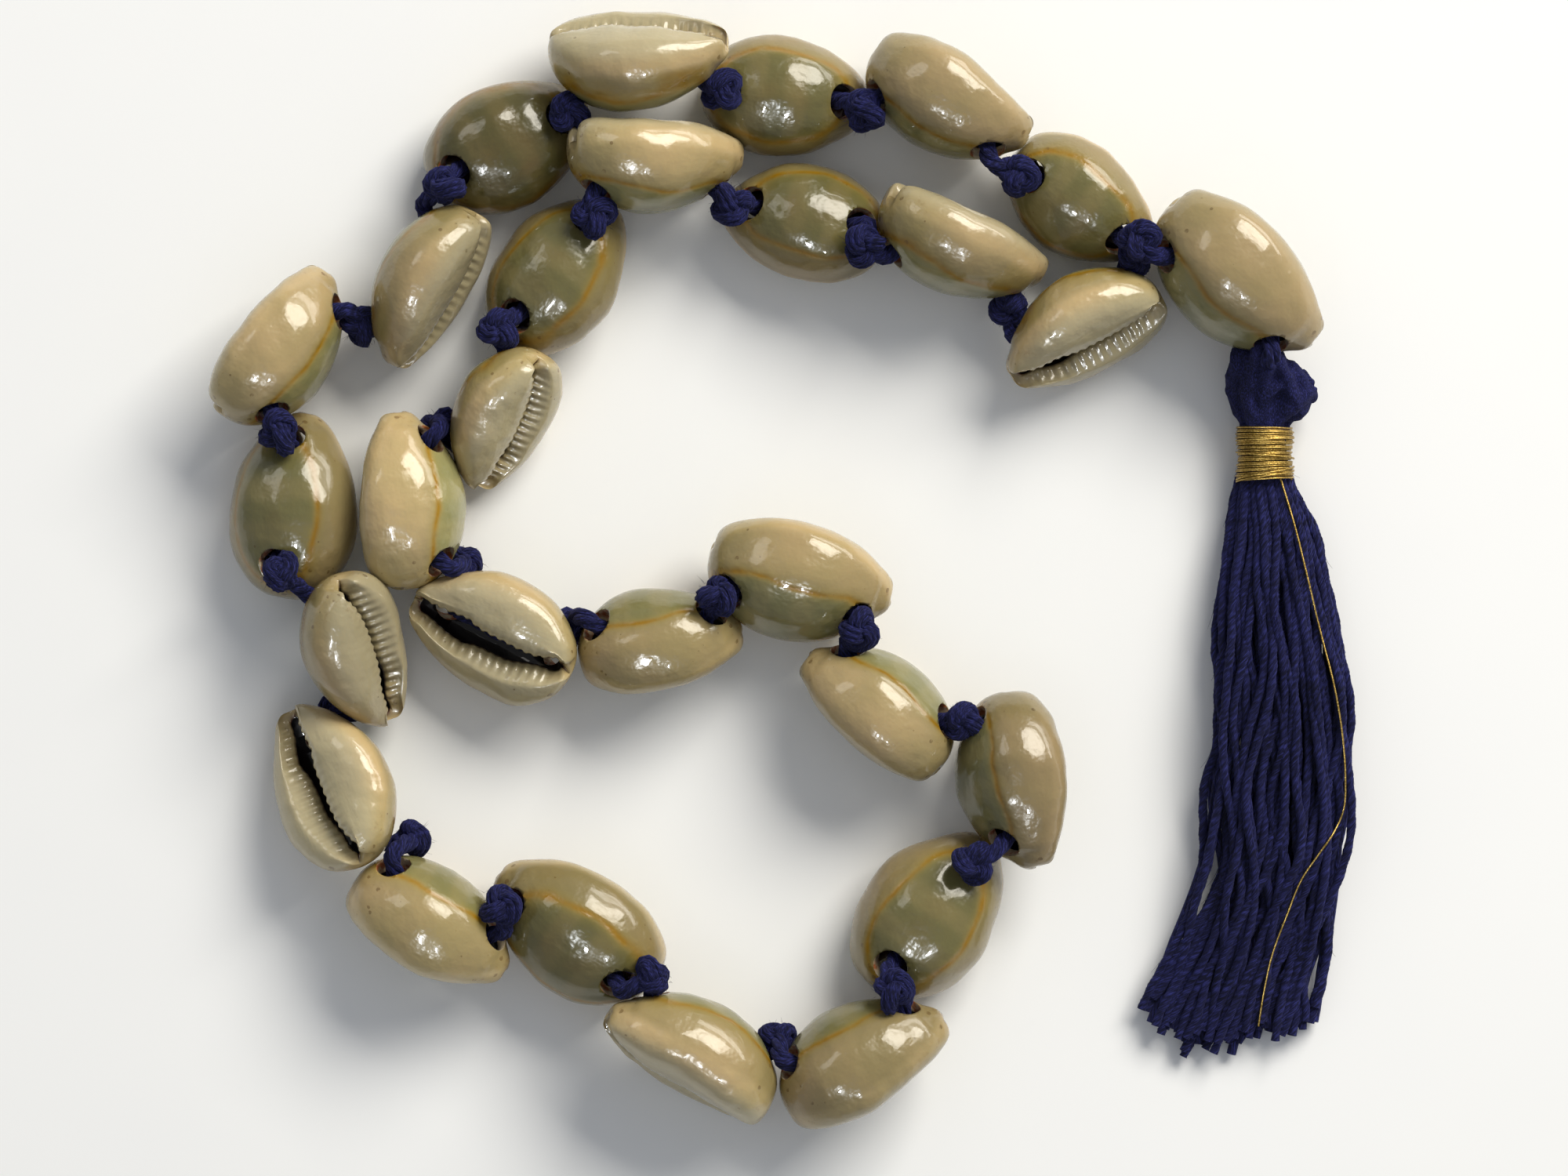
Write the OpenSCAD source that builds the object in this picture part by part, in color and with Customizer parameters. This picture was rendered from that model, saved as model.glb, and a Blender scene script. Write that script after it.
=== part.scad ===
// A necklace of cowrie shells on one knotted cotton cord, lying flat on a table.
// Each shell is hollow, open along its base, and drilled twice through its back for the cord.
// A larger shell closes the loop, and the cord goes on through it into a tassel.
// Millimetres, +Z up, the table at Z = 0 and the origin in the middle of the whole outline.

/* [Cowrie shell] */
// Length of a common shell, from tip to tip
shell_length = 24; // [20:0.5:28]
// Width of a common shell over its thick rims
shell_width = 17; // [14:0.2:19]
// Height of a common shell, from its base to the top of its back
shell_height = 11.6; // [10:0.2:14]
// Thickness of the shell's back
back_wall = 1.1; // [0.8:0.1:1.6]
// Thickness of the rolled rims along both sides
rim_wall = 2; // [1.4:0.1:2.6]
// Depth of the lips beside the slit
lip_depth = 1.6; // [1:0.1:2.2]
// Width of the slit between the lips
slit_width = 1; // [0.6:0.1:1.6]
// Distance of each drilled hole from the middle of the shell
hole_reach = 8.4; // [7.4:0.1:9]
// Lean of each drilled hole towards its end of the shell, in degrees
hole_lean = 38; // [25:1:50]
// Size of the large shell at the tassel, against a common one
guru_scale = 1.06; // [1:0.02:1.2]

/* [Cord] */
// Thickness of the cotton cord
cord_d = 2.2; // [1.6:0.1:3]
// Room around the cord in a drilled hole
hole_play = 1.4; // [0.6:0.1:1.6]
// Size of a knot
knot_d = 5; // [4.4:0.1:5.6]

/* [Tassel] */
// Length of the folded head above the gold binding
head_length = 10; // [8:0.5:14]
// Width of the folded head
head_width = 11.4; // [9:0.2:14]
// Width of the bound neck
neck_d = 6.1; // [5:0.1:8]
// Length of the loose skirt, from the binding to its longest lock
skirt_length = 73; // [50:1:100]
// Width of the skirt where it lies spread out
skirt_width = 20; // [14:0.5:26]
// Height of the skirt where it lies thickest
skirt_height = 9.4; // [7:0.2:12]
// Thickness of the gold thread
gold_thread_d = 0.38; // [0.3:0.02:0.5]
// Turns of gold thread round the neck
gold_turns = 18; // [12:1:22]
// Gap between the neck and the gold thread
gold_gap = 0.15; // [0.1:0.05:0.3]

/* [Hidden] */

shell_colour = "#c9bc93";
cord_colour = "#2f2a6b";
gold_colour = "#b08d3c";

hole_d = cord_d + 2 * hole_play;

// Sections across a shell, from its blunt end to its pointed end: place along the length,
// half width against the widest, height of the back, and height of the base.
SECTIONS = [
  [-0.500, 0.20, 0.46, 0.16],
  [-0.460, 0.44, 0.62, 0.07],
  [-0.370, 0.71, 0.80, 0.02],
  [-0.220, 0.93, 0.95, 0.00],
  [-0.030, 1.00, 1.00, 0.00],
  [0.170, 0.89, 0.92, 0.01],
  [0.340, 0.63, 0.73, 0.06],
  [0.450, 0.36, 0.54, 0.14],
  [0.500, 0.17, 0.42, 0.20]
];

// Outline of one half of a section, from the lip to the crown: out from the middle, and up.
HALF_OUTLINE = [[0.46, 0.00], [0.82, 0.12], [1.00, 0.38], [0.90, 0.67], [0.52, 0.92]];

// Where each shell lies: across and up the table against a shell's length, heading of its
// pointed end, roll of its back to the right of that heading, rise of its pointed end,
// size against a common shell, and how far a neighbour lifts it, in millimetres.
GURU = [2.37, 1.51, -43, 56, 0, 1.00, 0];
SHELLS = [
  [1.57, 1.95, -36, 20, 0, 0.87, 0],
  [0.84, 2.45, -30, 62, 5, 0.95, 0],
  [0.01, 2.52, -6, 3, 0, 0.91, 0],
  [-0.76, 2.68, 0, 115, 12, 0.97, 2.5],
  [-1.47, 2.26, 27, 5, 0, 0.94, 0],
  [-1.94, 1.54, 241, 105, -6, 0.93, 0],
  [-2.62, 1.16, 54, 65, -10, 0.95, 0],
  [-2.62, 0.35, 86, -17, -4, 1.00, 0],
  [-2.30, -0.42, -72, 133, -27, 0.90, 1.6],
  [-2.37, -1.15, 115, 148, -18, 0.95, 0],
  [-1.85, -1.83, -30, -55, 0, 0.94, 0],
  [-1.12, -1.93, 146, -27, 0, 1.01, 0],
  [-0.46, -2.51, 148, 100, 12, 1.01, 0],
  [0.39, -2.55, 31, -65, 0, 0.97, 0],
  [0.78, -1.83, 52, 0, 0, 1.00, 0],
  [1.18, -1.12, -80, 52, 10, 0.96, 0],
  [0.53, -0.69, 140, 64, 0, 0.93, 0],
  [0.07, -0.10, -15, 45, 0, 1.00, 0],
  [-0.67, -0.34, 10, -48, 5, 0.89, 0],
  [-1.52, -0.33, 154, 155, -8, 0.94, 0],
  [-1.95, 0.37, 91, 62, 0, 0.95, 0],
  [-1.52, 0.84, 243, 127, -25, 0.85, 0],
  [-1.21, 1.58, 53, -12, 0, 0.94, 0],
  [-0.68, 2.12, -3, 78, -17, 0.96, 0],
  [0.11, 1.87, 168, 12, 0, 0.89, 0],
  [0.92, 1.68, -25, 88, -18, 0.97, 0],
  [1.57, 1.31, 207, 125, 0, 0.91, 0]
];

// Locks of the tassel's skirt: place round the skirt in degrees, and length against the longest.
LOCKS = [
  [0, 0.93], [36, 0.90], [72, 0.96], [108, 0.99], [144, 0.92],
  [180, 0.89], [216, 0.95], [252, 1.00], [288, 0.97], [324, 0.95]
];

// The skirt from its neck to its end: place along it, drift to the right against its width,
// width, height, and how high it stands off the table against its height.
SKIRT = [
  [0.00, 0.00, 0.42, 0.70, 0.12],
  [0.09, 0.05, 0.65, 0.90, 0.03],
  [0.27, 0.09, 0.86, 1.00, 0.00],
  [0.50, 0.10, 1.00, 0.88, 0.00],
  [0.76, 0.00, 1.00, 0.70, 0.00],
  [1.00, -0.27, 1.16, 0.52, 0.00]
];

// The folded head from the cord down to the neck: place along it, drift to the right, width
// and height against the head's, and height of its middle against the neck's.
HEAD = [
  [0.00, -0.12, 0.40, 0.46, 1.40],
  [0.24, -0.03, 0.74, 0.74, 1.14],
  [0.50, 0.04, 0.94, 0.92, 1.00],
  [0.74, 0.03, 0.92, 0.90, 1.00],
  [0.98, 0.01, 0.60, 0.68, 1.00]
];

// Folds that stand out of the head: across it, along it, up from its middle, and size.
FOLDS = [
  [-0.30, 0.46, 0.10, 0.42],
  [0.34, 0.42, 0.04, 0.40],
  [0.06, 0.40, 0.26, 0.44],
  [-0.10, 0.70, 0.20, 0.42],
  [0.22, 0.70, -0.06, 0.44]
];

// A point of a shell, turned by its roll, rise and heading.
function turned(p, pose) =
  let (heading = pose[2], roll = pose[3], rise = pose[4],
       y1 = p.y * cos(roll) - p.z * sin(roll),
       z1 = p.y * sin(roll) + p.z * cos(roll),
       x2 = p.x * cos(rise) - z1 * sin(rise),
       z2 = p.x * sin(rise) + z1 * cos(rise))
  [x2 * cos(heading) - y1 * sin(heading), x2 * sin(heading) + y1 * cos(heading), z2];

// One closed ring of points round the wall of a shell at one section.
function shell_ring(row) =
  let (half = row[1] * shell_width / 2,
       low = (row[3] - 0.5) * shell_height,
       deep = (row[2] - row[3]) * shell_height,
       slit = min(slit_width / 2, 0.35 * half),
       inside = max(half - rim_wall, 0.5 * half),
       lip = min(lip_depth, 0.35 * deep),
       roof = deep - min(back_wall, 0.25 * deep),
       x = row[0] * shell_length,
       left = [for (p = HALF_OUTLINE) [x, p[0] * half, low + p[1] * deep]],
       right = [for (k = [len(HALF_OUTLINE) - 1 : -1 : 0])
                let (p = HALF_OUTLINE[k]) [x, -p[0] * half, low + p[1] * deep]])
  concat([[x, slit, low + 0.02 * deep]], left, [[x, 0, low + deep]], right,
         [[x, -slit, low + 0.02 * deep]],
         [[x, -slit, low + lip], [x, -inside, low + 0.42 * deep], [x, -0.5 * inside, low + roof],
          [x, 0.5 * inside, low + roof], [x, inside, low + 0.42 * deep], [x, slit, low + lip]]);

SHELL_RINGS = [for (row = SECTIONS) shell_ring(row)];
SHELL_POINTS = [for (ring = SHELL_RINGS) for (p = ring) p];

function size_of(pose) = pose[5];
function rest_height(pose) = -min([for (p = SHELL_POINTS) turned(p, pose).z]) * size_of(pose) + pose[6];
function seat(pose) = [pose[0] * shell_length, pose[1] * shell_length, rest_height(pose)];

GURU_POSE = [for (k = [0 : 6]) k == 5 ? guru_scale : GURU[k]];
POSES = concat([GURU_POSE], SHELLS);
SEATS = [for (pose = POSES) seat(pose)];

// The drilled holes: the mouth at one end of a shell, and the way out of it.
function back_height(x) = shell_height * (lookup(x / shell_length, [for (row = SECTIONS) [row[0], row[2]]]) - 0.5);
function mouth(end) = [end * hole_reach, 0, back_height(end * hole_reach)];
function way_out(end) = [end * sin(hole_lean), 0, cos(hole_lean)];

function to_world(p, k) = SEATS[k] + size_of(POSES[k]) * turned(p, POSES[k]);

// The cord runs through the shells in their order, and enters each at the end nearer to the one before.
function first_end(k) =
  let (before = SEATS[k - 1], after = SEATS[k == len(SHELLS) ? 0 : k + 1], way = POSES[k][2])
  (after.x - before.x) * cos(way) + (after.y - before.y) * sin(way) > 0 ? -1 : 1;
GURU_END = -1;
function end_in(k) = k == 0 ? GURU_END : first_end(k);
function end_out(k) = k == 0 ? GURU_END : -first_end(k);

// Each knot, from the large shell round: how far it lies from the middle between its two
// mouths, across, up the table and up from it, in millimetres, its size against a full one,
// and how far it is turned about the cord, in degrees.
KNOTS = [
  [0, 1.7, 0.6, 1, 42], [1.6, -0.8, 0.3, 1, 42], [0.7, -1.3, 0.2, 1, 0], [0.9, -0.1, 0.6, 0.92, 35],
  [-0.4, -0.8, 2.8, 0.82, 7], [1.5, 0.2, 1.6, 0.84, 21], [0.5, -0.8, -0.8, 0.92, 0], [-0.1, -0.8, 1, 1, 14],
  [-0.6, 1.1, 2.2, 0.88, 14], [0.1, 0.5, 0.8, 0.72, 28], [2.6, 1.4, -2.6, 0.84, 7], [-0.4, 1.5, 0.8, 1, 7],
  [2.1, 1.3, 1.5, 0.9, 0], [0.1, 1.6, -2.6, 0.78, 7], [-0.3, -0.9, 1.5, 1, 14], [-1.5, -1.1, 0.2, 1, 21],
  [0.3, -0.8, 0.4, 0.78, 28], [0.3, 0.2, 0.7, 0.92, 28], [0.2, 0.5, 0.7, 1, 21], [-1, 1, -2.6, 0.6, 35],
  [1.9, 2.2, -1.9, 0.8, 21], [-1.4, 1.6, -2.8, 0.74, 35], [-0.7, 0.2, 1.5, 0.92, 14], [0.4, -1.1, 0.7, 1, 7],
  [-0.1, -0.8, 1.8, 0.94, 0], [-1.3, -0.6, 1.2, 1, 42], [0.5, 1.7, 0.1, 0.88, 35], [0, 0.6, 0.5, 0.7, 28]
];
knot_stand = 0.36 * knot_d;
// Inside a shell the cord runs this deep under its mouths, outside it turns this far out of
// them, and it ends this far above the tassel's head.
cord_sink = 2.6 * back_wall;
cord_turn = cord_d / 2 + 0.1;
cord_gap = 0.25;

// The point outside a mouth where a knot would rest against it.
function knot_side(k, end) = to_world(mouth(end) + knot_stand * way_out(end), k);
function after(k) = k == len(SHELLS) ? 0 : k + 1;
function knot_at(k) =
  (knot_side(k, end_out(k)) + knot_side(after(k), end_in(after(k)))) / 2
  + [KNOTS[k][0], KNOTS[k][1], KNOTS[k][2]];

// The tassel hangs at the large shell's far mouth and runs off towards -Y.
tassel_top = to_world(mouth(1) + cord_turn * way_out(1), 0) - [0.4, 0, 0];
neck_height = SKIRT[0][3] * skirt_height * (0.5 + SKIRT[0][4]);
head_height = 1.9 * neck_height;
binding_length = gold_turns * gold_thread_d;
neck_y = tassel_top.y - head_length;
skirt_y = neck_y - binding_length - 2 * gold_gap;
function head_at(row) =
  [tassel_top.x + row[1] * head_width, tassel_top.y - row[0] * head_length, row[4] * neck_height];

// The middle of the whole outline, where the origin goes.
shell_x = [for (k = [0 : len(POSES) - 1]) for (p = SHELL_POINTS) to_world(p, k).x];
shell_y = [for (k = [0 : len(POSES) - 1]) for (p = SHELL_POINTS) to_world(p, k).y];
tassel_right = tassel_top.x + max([for (row = SKIRT) (row[1] + row[2] / 2) * skirt_width]);
tassel_end = skirt_y - skirt_length;
MIDDLE = [(min(shell_x) + max(max(shell_x), tassel_right)) / 2,
          (min(min(shell_y), tassel_end) + max(shell_y)) / 2, 0];

// Faces of a closed body swept through rings of the same number of points.
function ring_faces(rings, sides) = concat(
  [[for (k = [0 : sides - 1]) k]],
  [[for (k = [sides - 1 : -1 : 0]) (rings - 1) * sides + k]],
  [for (r = [0 : rings - 2]) for (k = [0 : sides - 1])
     let (a = r * sides + k, b = r * sides + (k + 1) % sides)
     each [[a, a + sides, b], [b, a + sides, b + sides]]]);

// A round tube along a route, with its seam kept towards one side.
function unit(v) = v / norm(v);
function tube_points(route, r, sides, side) =
  [for (k = [0 : len(route) - 1])
     let (before = route[max(k - 1, 0)], after = route[min(k + 1, len(route) - 1)],
          way = unit(after - before), u = unit(side - (side * way) * way), v = cross(way, u))
     for (j = [0 : sides - 1]) route[k] + r * (cos(360 * j / sides) * u + sin(360 * j / sides) * v)];

module tube(route, r, sides, side)
  polyhedron(tube_points(route, r, sides, side), ring_faces(len(route), sides));

module shell(k) {
  pose = POSES[k];
  color(shell_colour)
    translate(SEATS[k] - MIDDLE) rotate([pose[3], -pose[4], pose[2]]) scale(size_of(pose))
      difference() {
        polyhedron(SHELL_POINTS, ring_faces(len(SHELL_RINGS), len(SHELL_RINGS[0])));
        for (end = [-1, 1])
          translate(mouth(end)) rotate([0, end * hole_lean, 0])
            cylinder(d = hole_d / size_of(pose), h = 4 * back_wall, center = true, $fn = 24);
      }
}

// In a mouth the cord is pulled towards its knot, against the side of the hole.
function pull(k, end, knot) =
  let (out = turned(way_out(end), POSES[k]), to_knot = knot - to_world(mouth(end), k),
       aside = to_knot - (to_knot * out) * out)
  (hole_play - 0.3) * aside / max(norm(aside), knot_d / 2);
function outside(k, end, knot) =
  to_world(mouth(end), k) + cord_turn * turned(way_out(end), POSES[k]) + pull(k, end, knot);
function inside(k, end) = to_world(mouth(end) - cord_sink * way_out(end), k);

function shell_side(k) = turned([0, 1, 0], POSES[k]);

module knot(k) {
  way = knot_side(after(k), end_in(after(k))) - knot_side(k, end_out(k));
  d = KNOTS[k][3] * knot_d;
  translate(knot_at(k)) rotate([0, acos(way.z / norm(way)), atan2(way.y, way.x)]) rotate([0, 0, KNOTS[k][4]])
    hull() {
      cylinder(d = d, h = 0.42 * d, center = true, $fn = 8);
      cylinder(d = 0.66 * d, h = 0.88 * d, center = true, $fn = 8);
    }
}

// The cord from one knot in at one mouth, along the hollow and out at the other to the next knot.
module cord_run(k) {
  end = end_in(k);
  tube([knot_at(k - 1), outside(k, end, knot_at(k - 1)), inside(k, end),
        inside(k, -end), outside(k, -end, knot_at(k)), knot_at(k)], cord_d / 2, 6, shell_side(k));
}

// Its last stretch, through the large shell, ends on top of the tassel's head.
head_top = head_at(HEAD[1]) + [0, 0, HEAD[1][3] * head_height / 2 + cord_d / 2 + cord_gap];
module guru_run()
  tube([knot_at(0), outside(0, GURU_END, knot_at(0)), inside(0, GURU_END), inside(0, -GURU_END),
        outside(0, -GURU_END, head_top), head_top],
       cord_d / 2, 6, shell_side(0));

module knotted_cord()
  color(cord_colour) translate(-MIDDLE) {
    for (k = [0 : len(SHELLS)]) knot(k);
    for (k = [1 : len(SHELLS)]) cord_run(k);
    guru_run();
  }

// A thin slice across the tassel, for its locks and its head to run through.
module slice(at, w, h, sides)
  translate(at) rotate([90, 0, 0]) scale([w / 2, h / 2, 1]) cylinder(r = 1, h = 0.2, center = true, $fn = sides);

// A lock keeps to a ring inside the skirt's outline, thinner at the neck.
function lock_d(row) = 0.6 * min(row[2] * skirt_width, row[3] * skirt_height) + 0.6;
function lock_at(lock, row) =
  let (w = row[2] * skirt_width, h = row[3] * skirt_height, d = lock_d(row))
  [tassel_top.x + row[1] * skirt_width + (w - d) / 2 * cos(lock[0]),
   skirt_y - row[0] * lock[1] * skirt_length,
   h * (0.5 + row[4]) + (h - d) / 2 * sin(lock[0])];

neck_lock_d = 0.56 * neck_d;
function neck_lock(lock, y) =
  let (r = (neck_d - neck_lock_d) / 2)
  [tassel_top.x + r * cos(lock[0]), y, neck_height + r * sin(lock[0])];

module lock(lock) {
  ways = concat([neck_lock(lock, neck_y + 0.5), neck_lock(lock, skirt_y)],
                [for (j = [1 : len(SKIRT) - 1]) lock_at(lock, SKIRT[j])]);
  sizes = concat([neck_lock_d, neck_lock_d], [for (j = [1 : len(SKIRT) - 1]) lock_d(SKIRT[j])]);
  for (j = [1 : len(ways) - 1])
    hull() {
      slice(ways[j - 1], sizes[j - 1], sizes[j - 1], 8);
      slice(ways[j], sizes[j], sizes[j], 8);
    }
}

module head_slice(row) slice(head_at(row), row[2] * head_width, row[3] * head_height, 10);

module tassel()
  color(cord_colour) translate(-MIDDLE) {
    for (j = [1 : len(HEAD) - 1])
      hull() {
        head_slice(HEAD[j - 1]);
        head_slice(HEAD[j]);
      }
    for (fold = FOLDS)
      translate([tassel_top.x + fold[0] * head_width, tassel_top.y - fold[1] * head_length,
                 neck_height + fold[2] * head_height])
        scale([0.8, 1, 0.7]) sphere(d = fold[3] * head_width, $fn = 8);
    for (lock = LOCKS) lock(lock);
  }

module gold_binding()
  color(gold_colour) translate([tassel_top.x, neck_y - gold_gap, neck_height] - MIDDLE) rotate([90, 0, 0])
    rotate_extrude($fn = 48)
      translate([neck_d / 2 + gold_gap, 0]) {
        square([gold_thread_d / 2, binding_length]);
        for (k = [0 : gold_turns - 1])
          translate([gold_thread_d / 2, (k + 0.5) * gold_thread_d]) circle(d = 1.04 * gold_thread_d, $fn = 16);
      }

for (k = [1 : len(SHELLS)]) shell(k);
shell(0);  // guru_shell
knotted_cord();
tassel();
gold_binding();
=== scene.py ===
"""A necklace of cowrie shells on a knotted indigo cord, lying on a pale table under soft light."""
import math

import bmesh
import bpy
import numpy as np
from mathutils import Euler, Matrix, Vector


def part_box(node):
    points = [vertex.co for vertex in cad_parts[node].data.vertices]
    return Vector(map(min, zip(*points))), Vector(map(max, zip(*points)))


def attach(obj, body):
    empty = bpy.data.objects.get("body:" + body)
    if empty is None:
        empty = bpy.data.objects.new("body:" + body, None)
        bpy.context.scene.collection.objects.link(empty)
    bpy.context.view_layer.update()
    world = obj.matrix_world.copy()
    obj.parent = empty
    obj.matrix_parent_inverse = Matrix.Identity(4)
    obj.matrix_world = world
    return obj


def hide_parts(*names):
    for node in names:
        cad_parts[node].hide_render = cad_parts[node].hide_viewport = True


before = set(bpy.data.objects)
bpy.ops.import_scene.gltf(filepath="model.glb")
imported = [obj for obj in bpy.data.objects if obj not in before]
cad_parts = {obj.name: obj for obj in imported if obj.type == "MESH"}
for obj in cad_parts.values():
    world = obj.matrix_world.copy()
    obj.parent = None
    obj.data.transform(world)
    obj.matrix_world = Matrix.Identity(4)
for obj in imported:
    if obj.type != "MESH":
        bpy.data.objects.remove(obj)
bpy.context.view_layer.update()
scene = bpy.context.scene
MM = 0.001


# Camera
# It looks straight down on the table from a metre up, as the photograph does,
# and takes in 200 mm of the table across.
view_height = 1000 * MM
view_width = 200 * MM
view_middle = Vector((-0.24 * MM, -2.29 * MM))
half_shell = 6 * MM

camera = bpy.data.cameras.new("camera")
camera.lens = camera.sensor_width * (view_height - half_shell) / view_width
camera.clip_start = 0.05
camera_object = bpy.data.objects.new("camera", camera)
camera_object.location = (view_middle.x, view_middle.y, view_height)
scene.collection.objects.link(camera_object)
scene.camera = camera_object
scene.view_settings.view_transform = "Standard"


# Light
# A wide warm window stands low to the upper right and a pale room fills the shadows. Two more
# windows and two small bright panes show in the polish of the shells alone.
def panel(name, azimuth, elevation, distance, size, power, colour, lights_all=False):
    """A bright rectangle that faces the table, and lights it or else only shows in what is glossy."""
    light = bpy.data.lights.new(name, "AREA")
    light.shape = "RECTANGLE"
    light.size, light.size_y = size
    light.energy = power
    light.color = colour
    around, up = math.radians(azimuth), math.radians(elevation)
    way = Vector((math.cos(around) * math.cos(up), math.sin(around) * math.cos(up), math.sin(up)))
    lamp = bpy.data.objects.new(name, light)
    lamp.location = way * distance
    lamp.rotation_euler = way.to_track_quat("Z", "Y").to_euler()
    lamp.visible_diffuse = lights_all
    scene.collection.objects.link(lamp)


panel("window", 52, 38, 1.6, (1.05, 0.70), 30.0, (1.0, 0.95, 0.84), lights_all=True)
panel("low_window", 46, 14, 1.5, (1.50, 0.26), 9.0, (1.0, 0.96, 0.88))
panel("side_window", 138, 42, 1.6, (0.60, 0.35), 2.0, (1.0, 0.97, 0.92))
panel("pane_left", -112, 58, 0.8, (0.05, 0.09), 2.4, (0.93, 0.97, 1.0))
panel("pane_right", -78, 50, 0.8, (0.03, 0.06), 1.4, (0.93, 0.97, 1.0))

world = bpy.data.worlds.new("room")
world.use_nodes = True
room = world.node_tree.nodes["Background"]
room.inputs["Color"].default_value = (0.93, 0.96, 1.0, 1)
room.inputs["Strength"].default_value = 0.34
scene.world = world


# Table
# A plain matt sheet in white, wide enough to fill every view, with a hint of cloudiness in its
# paper. It is only there to lie on and isn't part of the necklace.
table_half = 2.5


def linear(red, green, blue):
    """A colour given in 0 to 255, as the shaders take it."""
    return tuple((c / 255) ** 2.2 for c in (red, green, blue)) + (1.0,)


def link_mesh(name, bm, *materials, smooth=True):
    mesh = bpy.data.meshes.new(name)
    bm.to_mesh(mesh)
    bm.free()
    for material in materials:
        mesh.materials.append(material)
    mesh.polygons.foreach_set("use_smooth", [smooth] * len(mesh.polygons))
    made = bpy.data.objects.new(name, mesh)
    scene.collection.objects.link(made)
    return made


def node(tree, kind, sockets=None, **settings):
    """A shader node with its settings, and its sockets filled with values or linked to other nodes."""
    made = tree.nodes.new(kind)
    for key, value in settings.items():
        setattr(made, key, value)
    for key, value in (sockets or {}).items():
        if isinstance(value, bpy.types.NodeSocket):
            tree.links.new(value, made.inputs[key])
        else:
            made.inputs[key].default_value = value
    return made


def calc(tree, operation, *values):
    made = node(tree, "ShaderNodeMath", dict(enumerate(values)), operation=operation)
    return made.outputs[0]


def step(tree, value, low, high, out_low=0.0, out_high=1.0):
    """A smooth step of a value from low to high."""
    made = node(tree, "ShaderNodeMapRange", {"Value": value, "From Min": low, "From Max": high,
                                             "To Min": out_low, "To Max": out_high},
                interpolation_type="SMOOTHSTEP")
    return made.outputs[0]


def blend(tree, factor, first, second):
    made = node(tree, "ShaderNodeMix", {0: factor, 6: first, 7: second}, data_type="RGBA")
    return made.outputs[2]


def noise(tree, place, scale, detail=2.0, rough=0.5):
    made = node(tree, "ShaderNodeTexNoise", {"Vector": place, "Scale": scale, "Detail": detail,
                                             "Roughness": rough})
    return made.outputs["Fac"]


def new_material(name):
    """A material, its node tree and its shader."""
    material = bpy.data.materials.new(name)
    material.use_nodes = True
    return material, material.node_tree, material.node_tree.nodes["Principled BSDF"]


sheet, sheet_tree, sheet_shader = new_material("white_sheet")
sheet_place = node(sheet_tree, "ShaderNodeTexCoord").outputs["Object"]
sheet_clouds = noise(sheet_tree, sheet_place, 40.0)
sheet_colour = blend(sheet_tree, sheet_clouds, linear(247, 249, 253), linear(250, 252, 255))
sheet_tree.links.new(sheet_colour, sheet_shader.inputs["Base Color"])
sheet_shader.inputs["Roughness"].default_value = 0.85

table_mesh = bmesh.new()
bmesh.ops.create_grid(table_mesh, x_segments=2, y_segments=2, size=table_half)
table = link_mesh("table", table_mesh, sheet)


# Cowrie shells
# Polished ring cowries, glossy as glazed china: an egg-shaped shell rolled in on itself along a
# toothed slit, with swollen rims and a greenish back inside a thin golden ring. Each is drilled
# twice through the back for the cord.
shell_length, shell_width, shell_height = 24.0, 17.0, 11.6
hole_reach, hole_lean, hole_radius = 8.4, 38.0, 2.5
guru_scale = 1.06
tooth_pitch = 1.32
rings_lengthways, rings_around = 110, 72
SHELL_NAMES = ["guru_shell"] + [f"shell_{k:02d}" for k in range(1, 28)]

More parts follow.
